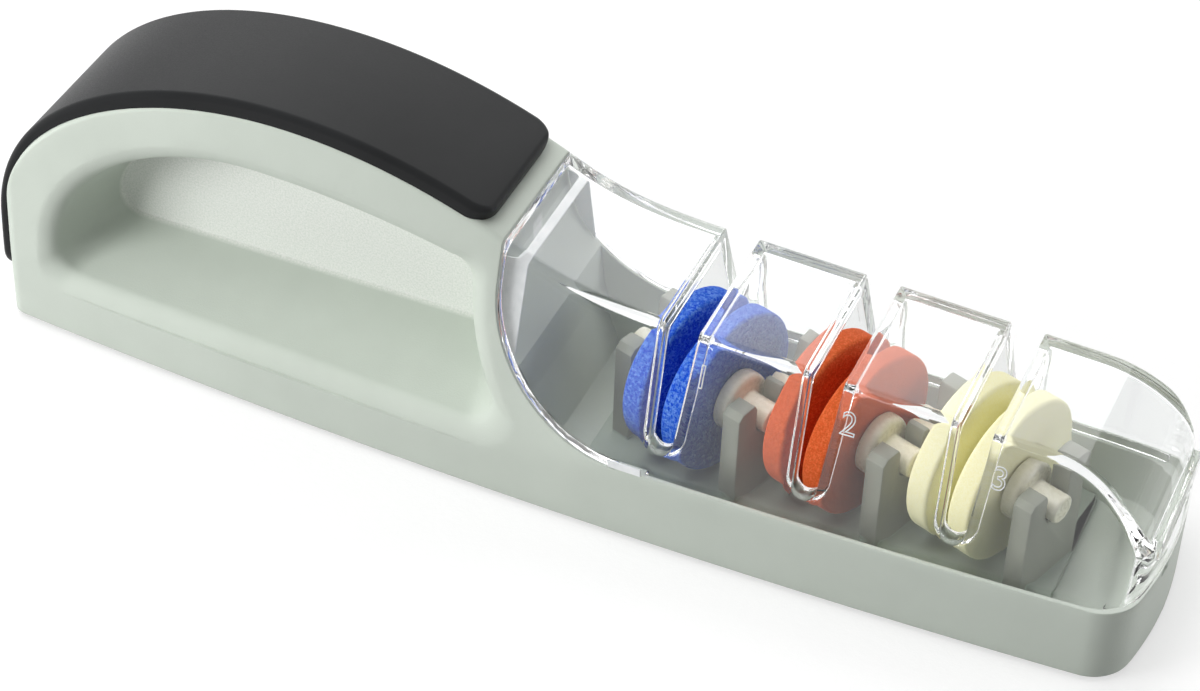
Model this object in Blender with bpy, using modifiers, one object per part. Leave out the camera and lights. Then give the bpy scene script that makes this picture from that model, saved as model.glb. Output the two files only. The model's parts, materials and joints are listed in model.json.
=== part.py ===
# Water knife sharpener: an arched handle on a long water trough, three pairs of
# grinding discs on slanted axles, and a clear hood with three blade slots.
# Metres, +Z up, +X from the handle end to the nose. The feet stand on z = 0.

import math

import bmesh
import bpy
from mathutils import Vector

# Clearances
gap = 0.0003
overrun = 0.0050
merge_share = 0.03

# Whole body in plan and section
body_length = 0.2376
half_width_max = 0.0260
half_width_loss = 0.0039
widest_setback = 0.0883
bow_reach = 0.1100
foot_standoff = 0.0008
rim_height = 0.0172
ridge_half_width = 0.0152
crease_radius = 0.0015
nose_corner = 0.0080
nose_bow = 0.0015
tail_corner = 0.0030
nose_reach = 0.0220

# Side view of the handle arch
arch_setback = 0.0606
arch_rise = 0.0413
arch_base = 0.0244
arch_drop = 0.0123
swoop_lead = 0.0025
swoop_length = 0.0300

# Joint line between the hood and the body
hood_slope_share = 0.04
split_arc_radius = 0.0285

# Finger pockets and the web between them
pocket_floor = 0.0113
pocket_margin = 0.0081
pocket_top_setback = 0.0040
pocket_top = 0.0568
pocket_spring = 0.0210
pocket_drop = 0.0073
pocket_neck = 0.0019
pocket_front_radius = 0.0444
pocket_front_corner = 0.0080
pocket_corner = 0.0050
pocket_lip = 0.0036
pocket_draft = 0.0100
pocket_front_draft = 0.0045
pocket_web = 0.0024

# Trough
trough_wall = 0.0028
trough_floor = 0.0032
trough_setback = 0.0117
trough_rear_slope = 0.0025
rabbet_depth = 0.0020
rabbet_wall = 0.0013
tongue_lead = 0.0060

# Wheel sets
wheel_count = 3
first_wheel_setback = 0.0361
wheel_pitch = 0.0284
last_wheel_margin = 0.0366
axle_yaw = math.radians(-18.5)
disc_radius = 0.0162
disc_floor_gap = 0.0015
disc_outer_face = 0.0070
disc_rim_gap = 0.0023
disc_hub_radius = 0.0076
disc_edge = 0.0007
core_radius = 0.0036
shaft_radius = 0.0029
shaft_stub = 0.0015
shaft_chamfer = 0.0006
axle_play = 0.0010
flange_radius = 0.0063
flange_edge = 0.0007
spacer_half = 0.0005
spacer_radius = 0.0070

# Grip pad
grip_thickness = 0.0027
grip_tail_thickness = 0.0012
grip_edge = 0.0013
grip_tail_inset = 0.0013
grip_depth = 0.0034
grip_end_share = 0.5
grip_margin = 0.0035
grip_tail_height = 0.0103

# Hood
hood_wall = 0.0026
hood_disc_gap = 0.0032
tongue_wall = 0.0010
slot_top_width = 0.0068
slot_low_width = 0.0048
slot_low_height = 0.0226
slot_lip_wall = 0.0016
slot_lip_depth = 0.0038
catch_width = 0.0260
catch_height = 0.0050
catch_setback = 0.0006
catch_level = 0.0243

# Wheel cradle
cradle_gap = 0.0004
cradle_floor_thickness = 0.0014
cradle_rear_margin = 0.0054
cradle_front_margin = 0.0094
support_thickness = 0.0040
shaft_clearance = 0.0004
notch_flare = 0.0012
horn_wall = 0.0052
horn_height = 0.0050
far_horn_extra = 0.0026

# Underside
cover_thickness = 0.0026
cover_ledge = 0.0018
cover_margin = 0.0032
cover_setback = 0.0025
pocket_floor_wall = 0.0031
boss_radius = 0.0034
boss_inset = 0.0075
screw_shank = 0.0013
screw_head = 0.0025
screw_head_depth = 0.0010
screw_counterbore = 0.0015
screw_length = 0.0046
foot_radius = 0.0045
foot_seat = 0.0009
foot_front_setback = 0.0230
foot_rear_setback = 0.0286
foot_inset = 0.0108

# Facet counts
ring_steps = 32
small_ring_steps = 16
arc_steps = 8
corner_steps = 3
lip_steps = 4
outline_steps = 9

# Places along X. The grip stands out past the tail, so the body sits forward by half of that.
tail_x = (gap + grip_tail_thickness - body_length) / 2
nose_x = tail_x + body_length
nose_start_x = nose_x - nose_reach
widest_x = nose_x - widest_setback
arch_x = tail_x + arch_setback
last_wheel_x = nose_x - last_wheel_margin
first_wheel_x = last_wheel_x - wheel_pitch * (wheel_count - 1)
split_x = first_wheel_x - first_wheel_setback
split_centre_x = split_x + split_arc_radius
swoop_start_x = split_x + swoop_lead
swoop_end_x = swoop_start_x + swoop_length
pocket_rear_x = tail_x + pocket_margin
pocket_top_x = arch_x - pocket_top_setback
pocket_front_x = split_x - pocket_neck
trough_rear_x = split_x + trough_setback
tongue_start_x = split_centre_x + tongue_lead
grip_front_x = split_x - grip_margin
cover_front_x = split_x - cover_setback

# Heights that follow from one another, from the trough's floor up to the hood's top
hollow_height = pocket_floor - pocket_floor_wall
cradle_low = trough_floor + gap
cradle_top = cradle_low + cradle_floor_thickness
wheel_centre_height = cradle_top + disc_floor_gap + disc_radius
hood_height = wheel_centre_height + disc_radius + hood_disc_gap + slot_lip_depth
slot_round_height = slot_low_height + slot_low_width / 2

# Sizes that fit round the axle
axis_x = math.cos(axle_yaw)
axis_y = math.sin(axle_yaw)
support_reach = wheel_pitch * axis_x / 2
side_step = -wheel_pitch * axis_y
shaft_half_length = support_reach + support_thickness / 2 + shaft_stub
shoulder = disc_outer_face + gap
flange_length = support_reach - support_thickness / 2 - axle_play - shoulder
notch_half_width = shaft_radius + shaft_clearance
disc_bore = core_radius + gap
disc_hub_face = spacer_half + gap

depth_all = half_width_max + overrun
height_all = arch_base + arch_rise + overrun


def clear_scene():
    for item in list(bpy.data.objects):
        bpy.data.objects.remove(item, do_unlink=True)


def new_collection(name):
    collection = bpy.data.collections.new(name)
    bpy.context.scene.collection.children.link(collection)
    return collection


clear_scene()
parts = new_collection("water_knife_sharpener")
cutters = new_collection("cutters")


def plastic(name, colour, roughness, metallic=0.0, alpha=1.0):
    material = bpy.data.materials.new(name)
    material.use_nodes = True
    shader = material.node_tree.nodes["Principled BSDF"]
    shader.inputs["Base Color"].default_value = (*colour, 1.0)
    shader.inputs["Roughness"].default_value = roughness
    shader.inputs["Metallic"].default_value = metallic
    shader.inputs["Alpha"].default_value = alpha
    return material


body_plastic = plastic("body_plastic", (0.56, 0.62, 0.57), 0.45)
grip_rubber = plastic("grip_rubber", (0.024, 0.024, 0.026), 0.6)
cradle_plastic = plastic("cradle_plastic", (0.28, 0.30, 0.27), 0.5)
clear_plastic = plastic("clear_plastic", (0.95, 0.97, 0.97), 0.05, alpha=0.25)
axle_plastic = plastic("axle_plastic", (0.72, 0.70, 0.56), 0.35)
foot_rubber = plastic("foot_rubber", (0.05, 0.05, 0.05), 0.8)
screw_steel = plastic("screw_steel", (0.55, 0.55, 0.56), 0.3, metallic=1.0)
coarse_stone = plastic("coarse_stone", (0.035, 0.11, 0.62), 0.8)
medium_stone = plastic("medium_stone", (0.72, 0.15, 0.055), 0.7)
fine_stone = plastic("fine_stone", (0.86, 0.83, 0.42), 0.5)


# Solids and booleans

def make_cutter(name, bm):
    """Put a bmesh into a new object that shapes others or becomes a part."""
    bmesh.ops.recalc_face_normals(bm, faces=bm.faces)
    mesh = bpy.data.meshes.new(name)
    bm.to_mesh(mesh)
    bm.free()
    item = bpy.data.objects.new(name, mesh)
    cutters.objects.link(item)
    item.hide_render = True
    item.display_type = "WIRE"
    return item


def add_boolean(target, cutter, operation):
    modifier = target.modifiers.new(operation.lower() + "_" + cutter.name, "BOOLEAN")
    modifier.operation = operation
    modifier.object = cutter
    modifier.solver = "EXACT"


def settle(item):
    """Turn an object's modifiers into its mesh."""
    depsgraph = bpy.context.evaluated_depsgraph_get()
    mesh = bpy.data.meshes.new_from_object(item.evaluated_get(depsgraph))
    item.modifiers.clear()
    item.data = mesh


def finish(item, name, material, angle=math.radians(35)):
    """Settle a shaped solid and move it from the cutters to the parts."""
    settle(item)
    item.name = name
    cutters.objects.unlink(item)
    parts.objects.link(item)
    item.hide_render = False
    item.display_type = "TEXTURED"
    item.data.materials.clear()
    item.data.materials.append(material)
    item.data.shade_smooth()
    item.data.set_sharp_from_angle(angle=angle)


def loft(name, rings):
    """Skin a row of closed rings that have the same number of points."""
    bm = bmesh.new()
    rows = [[bm.verts.new(point) for point in ring] for ring in rings]
    count = len(rows[0])
    for first, second in zip(rows, rows[1:]):
        for k in range(count):
            after = (k + 1) % count
            bm.faces.new((first[k], first[after], second[after], second[k]))
    bm.faces.new(rows[0])
    bm.faces.new(rows[-1])
    bmesh.ops.remove_doubles(bm, verts=bm.verts, dist=gap * merge_share)
    bmesh.ops.dissolve_degenerate(bm, edges=bm.edges, dist=gap * merge_share)
    return make_cutter(name, bm)


def side_prism(name, outline, half_depth):
    """An outline in X and Z, pushed out to both sides of the middle plane."""
    return loft(name, [[(x, side * half_depth, z) for x, z in outline] for side in (-1, 1)])


def span_outline(left, right, low, high):
    return [(left, low), (right, low), (right, high), (left, high)]


def cylinder(name, radius, low, high, x, y):
    bm = bmesh.new()
    bmesh.ops.create_cone(bm, cap_ends=True, segments=small_ring_steps, radius1=radius, radius2=radius,
                          depth=high - low)
    bmesh.ops.translate(bm, vec=(x, y, (high + low) / 2), verts=bm.verts)
    return make_cutter(name, bm)


# Outer form

def end_loss(distance, radius):
    """How far a corner of the given radius pulls the side in, near an end."""
    if distance >= radius:
        return 0.0
    run = radius - max(distance, 0.0)
    return radius - math.sqrt(max(radius * radius - run * run, 0.0))


def plan_half_width(x):
    return half_width_max - half_width_loss * ((x - widest_x) / bow_reach) ** 2


def nose_width(x, inset):
    """Plan of the nose: a shallow parabola across the front, met by round corners."""
    full = plan_half_width(x) - inset
    flat = full - nose_corner
    distance = nose_x - inset - x
    turn = math.atan(2 * nose_bow / flat)
    meet = nose_bow * (1 + nose_corner * math.sin(turn) / flat) ** 2
    if distance <= meet:
        return flat * math.sqrt(max(distance, 0.0) / nose_bow)
    return full - end_loss(distance - meet + nose_corner * (1 - math.cos(turn)), nose_corner)


def half_width(x, inset):
    return nose_width(x, inset) - end_loss(x - tail_x - inset, tail_corner)


def arch_fall(x):
    """The front half of the arch falls as a parabola."""
    return arch_drop * ((x - arch_x) / (swoop_start_x - arch_x)) ** 2


def arch_slope(x):
    return -2 * arch_fall(x) / (x - arch_x) if x > arch_x else 0.0


def hood_line(x):
    middle_x = (first_wheel_x + last_wheel_x) / 2
    return hood_height - hood_slope_share * (x - middle_x)


def swoop(x):
    """Cubic from the falling arch to the nearly level top of the hood."""
    t = (x - swoop_start_x) / swoop_length
    start = arch_base + arch_rise - arch_drop
    end = hood_line(swoop_end_x)
    h00 = 2 * t ** 3 - 3 * t ** 2 + 1
    h10 = t ** 3 - 2 * t ** 2 + t
    h01 = 3 * t ** 2 - 2 * t ** 3
    h11 = t ** 3 - t ** 2
    bend = h10 * arch_slope(swoop_start_x) - h11 * hood_slope_share
    return h00 * start + h01 * end + swoop_length * bend


def top_height(x, inset=0.0):
    if x <= arch_x:
        reach = arch_x - tail_x - inset
        share = min((arch_x - x) / reach, 1.0)
        return arch_base + (arch_rise - inset) * math.sqrt(1.0 - share * share)
    if x <= swoop_start_x:
        return arch_base + arch_rise - inset - arch_fall(x)
    if x <= swoop_end_x:
        return swoop(x) - inset
    if x <= nose_start_x:
        return hood_line(x) - inset
    reach = nose_x - inset - nose_start_x
    share = min((x - nose_start_x) / reach, 1.0)
    rise = hood_line(nose_start_x) - inset - rim_height
    return rim_height + rise * math.sqrt(1.0 - share * share)


def lean(x):
    """How far the wall above the rim leans in for each unit of height."""
    if x <= arch_x:
        ridge = arch_base + arch_rise
    elif x <= nose_start_x:
        ridge = top_height(x)
    else:
        ridge = hood_line(x)
    return (plan_half_width(x) - ridge_half_width) / (ridge - rim_height)


def wall_y(x, z):
    return half_width(x, 0.0) - lean(x) * max(z - rim_height, 0.0)


def hull_stations(inset):
    """Places along X, closer together where the outline turns quickly."""
    tail_reach = arch_x - tail_x - inset
    front_reach = nose_x - inset - nose_start_x
    quarter = [math.pi / 2 * k / outline_steps for k in range(outline_steps + 1)]
    stations = [arch_x - tail_reach * math.sin(turn) for turn in reversed(quarter)]
    for low, high, steps in ((arch_x, swoop_start_x, outline_steps), (swoop_start_x, swoop_end_x, arc_steps),
                             (swoop_end_x, nose_start_x, outline_steps)):
        stations += [low + (high - low) * k / steps for k in range(1, steps + 1)]
    stations += [nose_start_x + front_reach * math.sin(turn) for turn in quarter[1:]]
    stations += [nose_x - inset - nose_bow * (k / corner_steps) ** 2 for k in range(1, corner_steps)]
    return sorted(stations)


def hull_section(x, inset, bottom):
    """One half of a cross-section, from the bottom to the middle of the top."""
    top = top_height(x, inset)
    rise = max(top - rim_height, 0.0)
    side = half_width(x, inset)
    radius = min(crease_radius, rise / 2)
    angle = math.pi / 2 - math.atan(lean(x))
    crease_y = side - lean(x) * rise
    centre = Vector((crease_y - radius * math.tan(angle / 2), top - radius))
    points = [(side, bottom), (side, min(rim_height, top))]
    for k in range(corner_steps + 1):
        turn = angle * (1 - k / corner_steps)
        points.append(tuple(centre + Vector((math.sin(turn), math.cos(turn))) * radius))
    return points


def hull(name, inset, bottom):
    """Loft of the whole outer form, drawn in by the inset."""
    rings = []
    for x in hull_stations(inset):
        half = hull_section(x, inset, bottom)
        outline = [(-y, z) for y, z in half] + list(reversed(half))
        rings.append([(x, y, z) for y, z in outline])
    return loft(name, rings)


def room(name, inset, outline):
    """The space inside the outer form that also lies in a side-view outline."""
    solid = hull(name, inset, -overrun)
    add_boolean(solid, side_prism(name + "_side", outline, depth_all), "INTERSECT")
    settle(solid)
    return solid


def split_outline(clearance, low_edge):
    """Side view of the room for the hood: back edge, arc and rim, less a clearance."""
    radius = split_arc_radius - clearance
    steps = arc_steps * 2
    outline = [(split_x + clearance, height_all), (split_x + clearance, hood_height)]
    for k in range(1, steps):
        turn = math.pi / 2 * k / steps
        outline.append((split_centre_x - radius * math.cos(turn), hood_height - radius * math.sin(turn)))
    outline.append((split_centre_x, low_edge))
    outline.append((nose_x + overrun, low_edge))
    outline.append((nose_x + overrun, height_all))
    return outline


# Finger pockets

def quarter_turn(corner_x, corner_z, reach_x, reach_z, start):
    """Points of a rounded corner, from the given quarter of a turn to the next."""
    points = []
    for k in range(1, arc_steps + 1):
        turn = start + math.pi / 2 * k / arc_steps
        points.append((corner_x + reach_x * math.cos(turn), corner_z + reach_z * math.sin(turn)))
    return points


def pocket_outline(inset, front_inset):
    """Pocket rim in side view, drawn in by the insets, anticlockwise from the floor's front."""
    floor = pocket_floor + inset
    low_corner = pocket_front_corner - front_inset / 2
    radius = pocket_front_radius + front_inset
    centre_x = pocket_front_x + pocket_front_radius

    def front(z):
        return centre_x - math.sqrt(radius ** 2 - (hood_height - z) ** 2)

    def ceiling(x):
        return pocket_top - inset - pocket_drop * ((x - pocket_top_x) / (pocket_front_x - pocket_top_x)) ** 2

    shoulder_z = ceiling(pocket_front_x - front_inset - pocket_corner) - pocket_corner
    shoulder_z = min(shoulder_z, hood_height)
    bend_z = floor + low_corner
    shoulder_x = front(shoulder_z) - pocket_corner
    rear_reach = pocket_top_x - pocket_rear_x - inset
    rear_x = pocket_top_x - rear_reach
    spring_z = max(pocket_spring, floor + pocket_corner)
    points = quarter_turn(front(bend_z) - low_corner, bend_z, low_corner, low_corner, -math.pi / 2)
    for k in range(1, arc_steps + 1):
        z = bend_z + (shoulder_z - bend_z) * k / arc_steps
        points.append((front(z), z))
    points += quarter_turn(shoulder_x, shoulder_z, pocket_corner, ceiling(shoulder_x) - shoulder_z, 0.0)
    for k in range(1, outline_steps + 1):
        x = shoulder_x + (pocket_top_x - shoulder_x) * k / outline_steps
        points.append((x, ceiling(x)))
    points += quarter_turn(pocket_top_x, spring_z, rear_reach, pocket_top - inset - spring_z, math.pi / 2)
    points.append((rear_x, floor + pocket_corner))
    points += quarter_turn(rear_x + pocket_corner, floor + pocket_corner, pocket_corner, pocket_corner, math.pi)
    return points


def pocket_cutter(name, side):
    """Loft of the rim outline from outside the wall to the web, with a round lip."""
    rings = [[(x, side * depth_all, z) for x, z in pocket_outline(0.0, 0.0)]]
    for k in range(lip_steps + 1):
        turn = math.pi / 2 * k / lip_steps
        inset = pocket_lip * math.sin(turn)
        depth = pocket_lip * (1 - math.cos(turn))
        rings.append([(x, side * (wall_y(x, z) - depth), z) for x, z in pocket_outline(inset, inset)])
    web = pocket_outline(pocket_draft, pocket_front_draft)
    rings.append([(x, side * pocket_web / 2, z) for x, z in web])
    return loft(name, rings)


# Body shell

def screw_places():
    """Four corners of the base cover, drawn in from its edge."""
    rear = tail_x + cover_margin + boss_inset
    front = cover_front_x - boss_inset
    places = []
    for x in (rear, front):
        for side in (-1, 1):
            y = side * (plan_half_width(x) - cover_margin - boss_inset)
            places.append((x, y))
    return places


def foot_places():
    rear = tail_x + foot_rear_setback
    front = nose_x - foot_front_setback
    return [(x, side * (plan_half_width(x) - foot_inset)) for x in (rear, widest_x, front) for side in (-1, 1)]


def foot_seat_cutter(name, x, y):
    return cylinder(name, foot_radius + gap, -overrun, foot_standoff + foot_seat + gap, x, y)


def make_body():
    body = hull("body_form", 0.0, foot_standoff)
    add_boolean(body, side_prism("hood_side", split_outline(0.0, rim_height), depth_all), "DIFFERENCE")
    for side, label in ((-1, "near"), (1, "far")):
        add_boolean(body, pocket_cutter("pocket_" + label, side), "DIFFERENCE")
    trough_side = [(trough_rear_x + trough_rear_slope, trough_floor), (nose_x, trough_floor),
                   (nose_x, height_all), (trough_rear_x, height_all), (trough_rear_x, rim_height)]
    add_boolean(body, room("trough_room", trough_wall, trough_side), "DIFFERENCE")
    rabbet_side = span_outline(tongue_start_x - gap, nose_x, rim_height - rabbet_depth, height_all)
    add_boolean(body, room("rabbet_room", rabbet_wall, rabbet_side), "DIFFERENCE")
    ledge = foot_standoff + cover_thickness + gap
    recess_side = span_outline(tail_x, cover_front_x, -overrun, ledge)
    add_boolean(body, room("cover_recess", cover_margin - gap, recess_side), "DIFFERENCE")
    hollow_side = span_outline(tail_x, cover_front_x - cover_ledge, -overrun, hollow_height)
    hollow = room("hollow_room", cover_margin + cover_ledge, hollow_side)
    for k, (x, y) in enumerate(screw_places()):
        add_boolean(hollow, cylinder("boss_" + str(k), boss_radius, ledge, height_all, x, y), "DIFFERENCE")
    settle(hollow)
    add_boolean(body, hollow, "DIFFERENCE")
    for k, (x, y) in enumerate(screw_places()):
        top = foot_standoff + screw_counterbore + screw_length + gap
        hole = cylinder("boss_hole_" + str(k), screw_shank + gap, -overrun, top, x, y)
        add_boolean(body, hole, "DIFFERENCE")
    for k, (x, y) in enumerate(foot_places()):
        if x > cover_front_x:
            add_boolean(body, foot_seat_cutter("foot_seat_" + str(k), x, y), "DIFFERENCE")
    finish(body, "body_shell", body_plastic)


# Grip pad

def grip_path():
    """Side-view line of the handle's back, from the grip's front end to its tail."""
    points = []
    steps = outline_steps * 2
    for k in range(steps + 1):
        x = grip_front_x + (arch_x - grip_front_x) * k / steps
        points.append((Vector((x, top_height(x))), Vector((-arch_slope(x), 1.0)).normalized()))
    reach = arch_x - tail_x
    for k in range(1, steps + 1):
        turn = math.pi / 2 * k / steps
        place = Vector((arch_x - reach * math.sin(turn), arch_base + arch_rise * math.cos(turn)))
        normal = Vector((-math.sin(turn) / reach, math.cos(turn) / arch_rise)).normalized()
        points.append((place, normal))
    for k in range(1, corner_steps + 1):
        z = arch_base + (grip_tail_height - arch_base) * k / corner_steps
        points.append((Vector((tail_x, z)), Vector((-1.0, 0.0))))
    return points


def grip_section(place, normal, squeeze):
    """Cross-section of the band: square below, where the body cuts it, round above.

    Towards the upright tail the band grows thinner and narrower."""
    backward = max(-normal.x, 0.0) ** 2
    across = wall_y(max(place.x, tail_x + tail_corner), place.y) - grip_tail_inset * backward
    edge = grip_edge * squeeze
    thickness = (gap + grip_thickness - (grip_thickness - grip_tail_thickness) * backward) * squeeze
    half = [(across - grip_edge + edge, -grip_depth)]
    for k in range(corner_steps + 1):
        turn = math.pi / 2 * k / corner_steps
        half.append((across - grip_edge + edge * math.cos(turn), thickness - edge + edge * math.sin(turn)))
    outline = [(-y, rise) for y, rise in half] + list(reversed(half))
    return [(place.x + normal.x * rise, y, place.y + normal.y * rise) for y, rise in outline]


def make_grip():
    path = grip_path()
    rings = []
    for k, (place, normal) in enumerate(path):
        squeeze = grip_end_share if k in (0, len(path) - 1) else 1.0
        rings.append(grip_section(place, normal, squeeze))
    grip = loft("grip_band", rings)
    add_boolean(grip, hull("grip_seat", -gap, foot_standoff), "DIFFERENCE")
    finish(grip, "grip_pad", grip_rubber, math.radians(50))


# Hood

def slot_profile(x, widen):
    """Slot in side view: a round foot, then sides that open towards the hood's top."""
    low = slot_low_width / 2 + widen
    flare = (slot_top_width - slot_low_width) / 2 / (hood_height - slot_round_height)
    top = low + flare * (height_all - slot_round_height)
    outline = [(x - top, height_all)]
    for k in range(arc_steps + 1):
        turn = math.pi * k / arc_steps
        outline.append((x - low * math.cos(turn), slot_round_height - low * math.sin(turn)))
    outline.append((x + top, height_all))
    return outline


def slot_places():
    return [first_wheel_x + wheel_pitch * k for k in range(wheel_count)]


def make_hood():
    hood = room("hood_form", 0.0, split_outline(gap, rim_height + gap))
    tongue_side = span_outline(tongue_start_x, nose_x, rim_height - rabbet_depth + gap, rim_height + overrun)
    add_boolean(hood, room("tongue_form", hood_wall - tongue_wall, tongue_side), "UNION")
    catch_side = span_outline(nose_start_x, nose_x - catch_setback, catch_level, catch_level + catch_height)
    add_boolean(hood, side_prism("hood_catch", catch_side, catch_width / 2), "UNION")
    open_side = span_outline(tail_x, nose_x, -overrun, height_all)
    cavity = room("hood_cavity", hood_wall, open_side)
    for k, x in enumerate(slot_places()):
        lip = side_prism("slot_lip_" + str(k), slot_profile(x, slot_lip_wall), depth_all)
        add_boolean(cavity, lip, "DIFFERENCE")
    add_boolean(cavity, room("hood_core", slot_lip_depth, open_side), "UNION")
    settle(cavity)
    add_boolean(hood, cavity, "DIFFERENCE")
    for k, x in enumerate(slot_places()):
        slot = side_prism("slot_" + str(k), slot_profile(x, 0.0), depth_all + overrun)
        add_boolean(hood, slot, "DIFFERENCE")
    finish(hood, "hood", clear_plastic)


# Wheel cradle

def support_outline(notches):
    """Upright plate across the axle, seen along it, with a U notch for each shaft."""
    near_edge = notches[0] - notch_half_width - horn_wall
    far_edge = notches[-1] + notch_half_width + horn_wall
    foot_z = (cradle_low + cradle_top) / 2
    horn_top = wheel_centre_height + horn_height
    far_top = horn_top + far_horn_extra
    outline = [(near_edge, foot_z), (near_edge, horn_top - notch_flare), (near_edge + notch_flare, horn_top)]
    for number, middle in enumerate(notches):
        left = middle - notch_half_width
        right = middle + notch_half_width
        outline.append((left - notch_flare / 2, horn_top))
        outline.append((left, horn_top - notch_flare))
        for k in range(arc_steps + 1):
            turn = math.pi * k / arc_steps
            outline.append((middle - notch_half_width * math.cos(turn),
                            wheel_centre_height - notch_half_width * math.sin(turn)))
        top = far_top if number == len(notches) - 1 else horn_top
        outline.append((right, top - notch_flare))
        outline.append((right + notch_flare / 2, top))
    outline += [(far_edge - notch_flare, far_top), (far_edge, far_top - notch_flare), (far_edge, foot_z)]
    return outline


def support_plate(name, x, y, notches):
    """The outline stands at (x, y) square to the axle, pushed out to its thickness."""
    rings = []
    for side in (-1, 1):
        along = side * support_thickness / 2
        middle_x = x + along * axis_x
        middle_y = y + along * axis_y
        rings.append([(middle_x - across * axis_y, middle_y + across * axis_x, z)
                      for across, z in support_outline(notches)])
    return loft(name, rings)


def make_cradle():
    rear_x = first_wheel_x - wheel_pitch / 2 - cradle_rear_margin
    front_x = last_wheel_x + wheel_pitch / 2 + cradle_front_margin
    floor_side = span_outline(rear_x, front_x, cradle_low, cradle_top)
    cradle = room("cradle_floor", trough_wall + cradle_gap, floor_side)
    rear_plate = support_plate("support_rear", first_wheel_x - support_reach * axis_x,
                               -support_reach * axis_y, [0.0])
    add_boolean(cradle, rear_plate, "UNION")
    for k, x in enumerate(slot_places()):
        notches = [0.0] if k == wheel_count - 1 else [0.0, side_step]
        plate = support_plate("support_" + str(k), x + support_reach * axis_x, support_reach * axis_y,
                              notches)
        add_boolean(cradle, plate, "UNION")
    finish(cradle, "wheel_cradle", cradle_plastic)


# Turned pieces

def turned(name, profile, closed, steps, material, place, rotation=(0.0, 0.0, 0.0)):
    """A profile of radius and axial place, turned about its own Z, then set in place."""
    bm = bmesh.new()
    verts = [bm.verts.new((radius, 0.0, along)) for radius, along in profile]
    for first, second in zip(verts, verts[1:]):
        bm.edges.new((first, second))
    if closed:
        bm.edges.new((verts[-1], verts[0]))
    mesh = bpy.data.meshes.new(name)
    bm.to_mesh(mesh)
    bm.free()
    mesh.materials.append(material)
    item = bpy.data.objects.new(name, mesh)
    parts.objects.link(item)
    screw = item.modifiers.new("turn", "SCREW")
    screw.axis = "Z"
    screw.angle = 2 * math.pi
    screw.steps = steps
    screw.render_steps = steps
    screw.use_merge_vertices = True
    screw.merge_threshold = gap * merge_share
    screw.use_smooth_shade = True
    item.location = place
    item.rotation_euler = rotation


def disc_profile(side):
    """Grinding disc: flat outer face, bevelled edges, cone-shaped inner face."""
    points = [
        (disc_bore, disc_outer_face),
        (disc_radius - disc_edge, disc_outer_face),
        (disc_radius, disc_outer_face - disc_edge),
        (disc_radius, disc_rim_gap + disc_edge),
        (disc_radius - disc_edge, disc_rim_gap),
        (disc_hub_radius, disc_hub_face),
        (disc_bore, disc_hub_face),
    ]
    if side == 1:
        return points
    return [(radius, -along) for radius, along in reversed(points)]


def axle_profile():
    """Shaft with a thicker core for the discs and one flange, from its front end back."""
    end = shoulder + flange_length
    core_end = disc_outer_face - gap
    return [
        (0.0, shaft_half_length),
        (shaft_radius - shaft_chamfer, shaft_half_length),
        (shaft_radius, shaft_half_length - shaft_chamfer),
        (shaft_radius, end),
        (flange_radius - flange_edge, end),
        (flange_radius, end - flange_edge),
        (flange_radius, shoulder),
        (core_radius, shoulder),
        (core_radius, -core_end),
        (shaft_radius, -core_end),
        (shaft_radius, -shaft_half_length + shaft_chamfer),
        (shaft_radius - shaft_chamfer, -shaft_half_length),
        (0.0, -shaft_half_length),
    ]


def collar_profile():
    """Loose ring with bevelled edges, the flange's match at the other end."""
    bore = shaft_radius + gap
    low = -shoulder - flange_length
    return [
        (bore, -shoulder),
        (flange_radius - flange_edge, -shoulder),
        (flange_radius, -shoulder - flange_edge),
        (flange_radius, low + flange_edge),
        (flange_radius - flange_edge, low),
        (bore, low),
    ]


def spacer_profile():
    return [(disc_bore, spacer_half), (spacer_radius, spacer_half), (spacer_radius, -spacer_half),
            (disc_bore, -spacer_half)]


def make_wheel_set(label, x, stone):
    centre = (x, 0.0, wheel_centre_height)
    along_axle = (0.0, math.pi / 2, axle_yaw)
    pieces = (
        ("_axle", axle_profile(), False, small_ring_steps, axle_plastic),
        ("_front_disc", disc_profile(1), True, ring_steps, stone),
        ("_rear_disc", disc_profile(-1), True, ring_steps, stone),
        ("_spacer", spacer_profile(), True, small_ring_steps, axle_plastic),
        ("_collar", collar_profile(), True, small_ring_steps, axle_plastic),
    )
    for ending, profile, closed, steps, material in pieces:
        turned(label + ending, profile, closed, steps, material, centre, along_axle)


# Underside

def make_cover():
    cover_side = span_outline(tail_x, cover_front_x - gap, foot_standoff, foot_standoff + cover_thickness)
    cover = room("cover_form", cover_margin, cover_side)
    for k, (x, y) in enumerate(screw_places()):
        hole = cylinder("cover_hole_" + str(k), screw_shank + gap, -overrun, overrun, x, y)
        add_boolean(cover, hole, "DIFFERENCE")
        bore_top = foot_standoff + screw_counterbore
        bore = cylinder("cover_bore_" + str(k), screw_head + gap, -overrun, bore_top, x, y)
        add_boolean(cover, bore, "DIFFERENCE")
    for k, (x, y) in enumerate(foot_places()):
        if x < cover_front_x:
            add_boolean(cover, foot_seat_cutter("cover_seat_" + str(k), x, y), "DIFFERENCE")
    finish(cover, "base_cover", body_plastic)


def make_screws():
    head_top = foot_standoff + screw_counterbore - gap
    head_low = head_top - screw_head_depth
    profile = [
        (0.0, head_top + screw_length),
        (screw_shank, head_top + screw_length),
        (screw_shank, head_top),
        (screw_head, head_top),
        (screw_head, head_low),
        (0.0, head_low),
    ]
    for number, (x, y) in enumerate(screw_places(), 1):
        turned("cover_screw_" + str(number), profile, False, small_ring_steps, screw_steel, (x, y, 0.0))


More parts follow.
